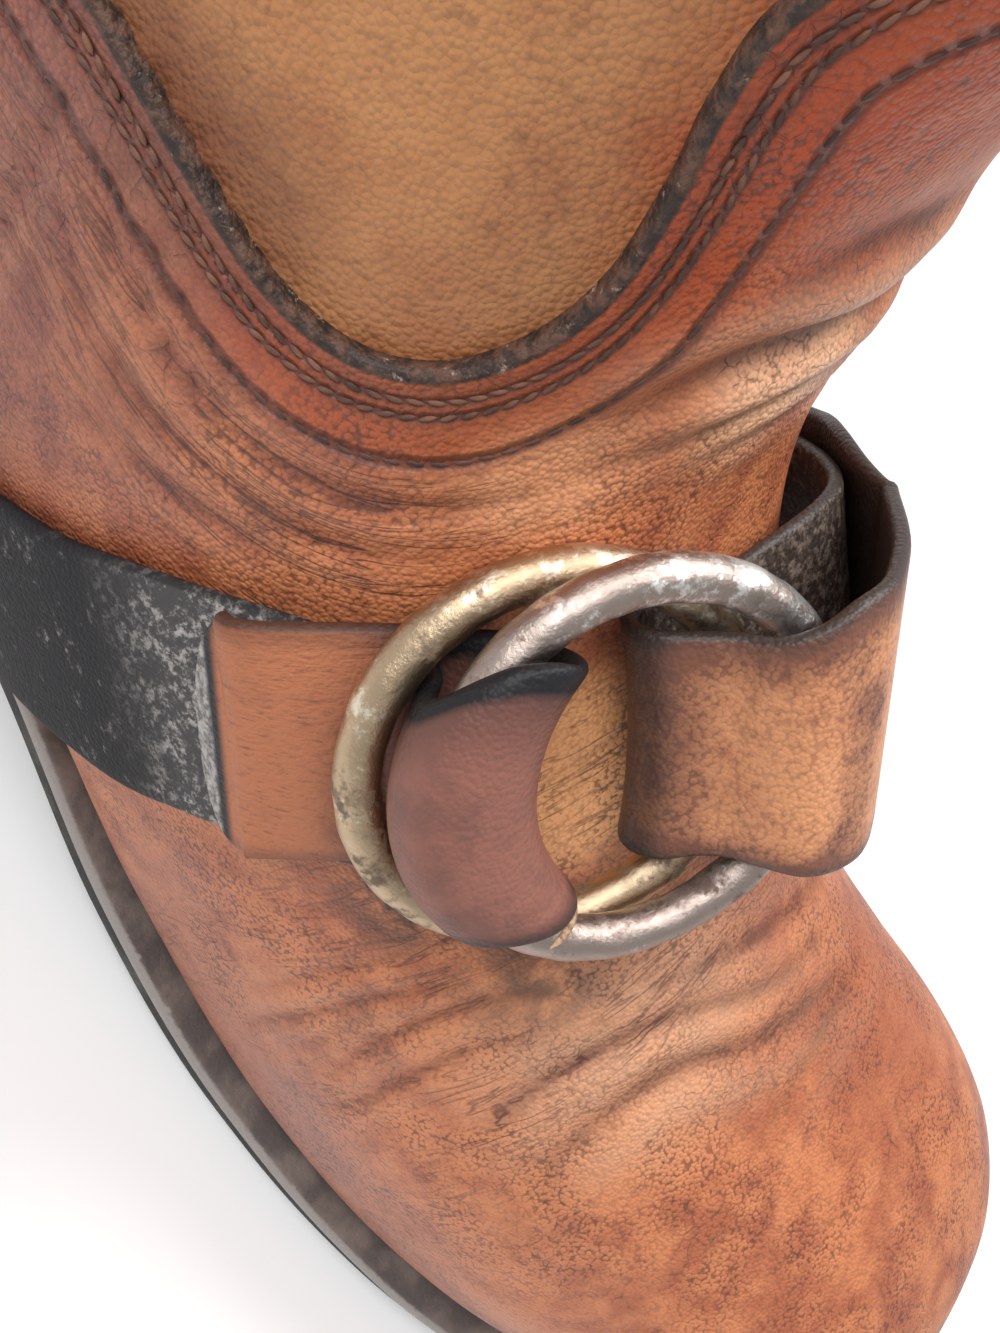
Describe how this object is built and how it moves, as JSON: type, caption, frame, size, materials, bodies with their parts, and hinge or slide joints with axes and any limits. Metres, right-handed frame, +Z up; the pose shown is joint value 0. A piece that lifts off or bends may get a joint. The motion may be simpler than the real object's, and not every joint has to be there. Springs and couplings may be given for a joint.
{
  "type": "engineer boot",
  "caption": "Right engineer boot in worn brown leather with a low heel, a stitched vamp over the shaft and an instep strap fastened through a pair of metal rings",
  "frame": {"origin": "on the floor under the middle of the heel, where the shank's middle line of the rear foot meets the floor", "axes": "+X from the heel to the toe, +Y to the medial side, +Z up"},
  "size_m": [0.3064, 0.1211, 0.318],
  "materials": {
    "outsole": "worn matt",
    "heel": "stacked, worn",
    "heel_lift": "matt",
    "welt": "black, scuffed",
    "insole": "plain",
    "upper": "creased, waxed, worn",
    "strap_lateral": "blackened, worn",
    "strap_loop": "waxed, worn",
    "ring_brass": "dull",
    "ring_steel": "worn, spotted"
  },
  "bodies": {
    "root": {"outsole": "outsole", "heel": "heel", "heel_lift": "heel_lift", "welt": "welt", "insole": "insole", "upper": "upper", "strap_lateral": "strap_lateral", "strap_loop": "strap_loop", "ring_brass": "ring_brass", "ring_steel": "ring_steel"}
  },
  "joints": []
}
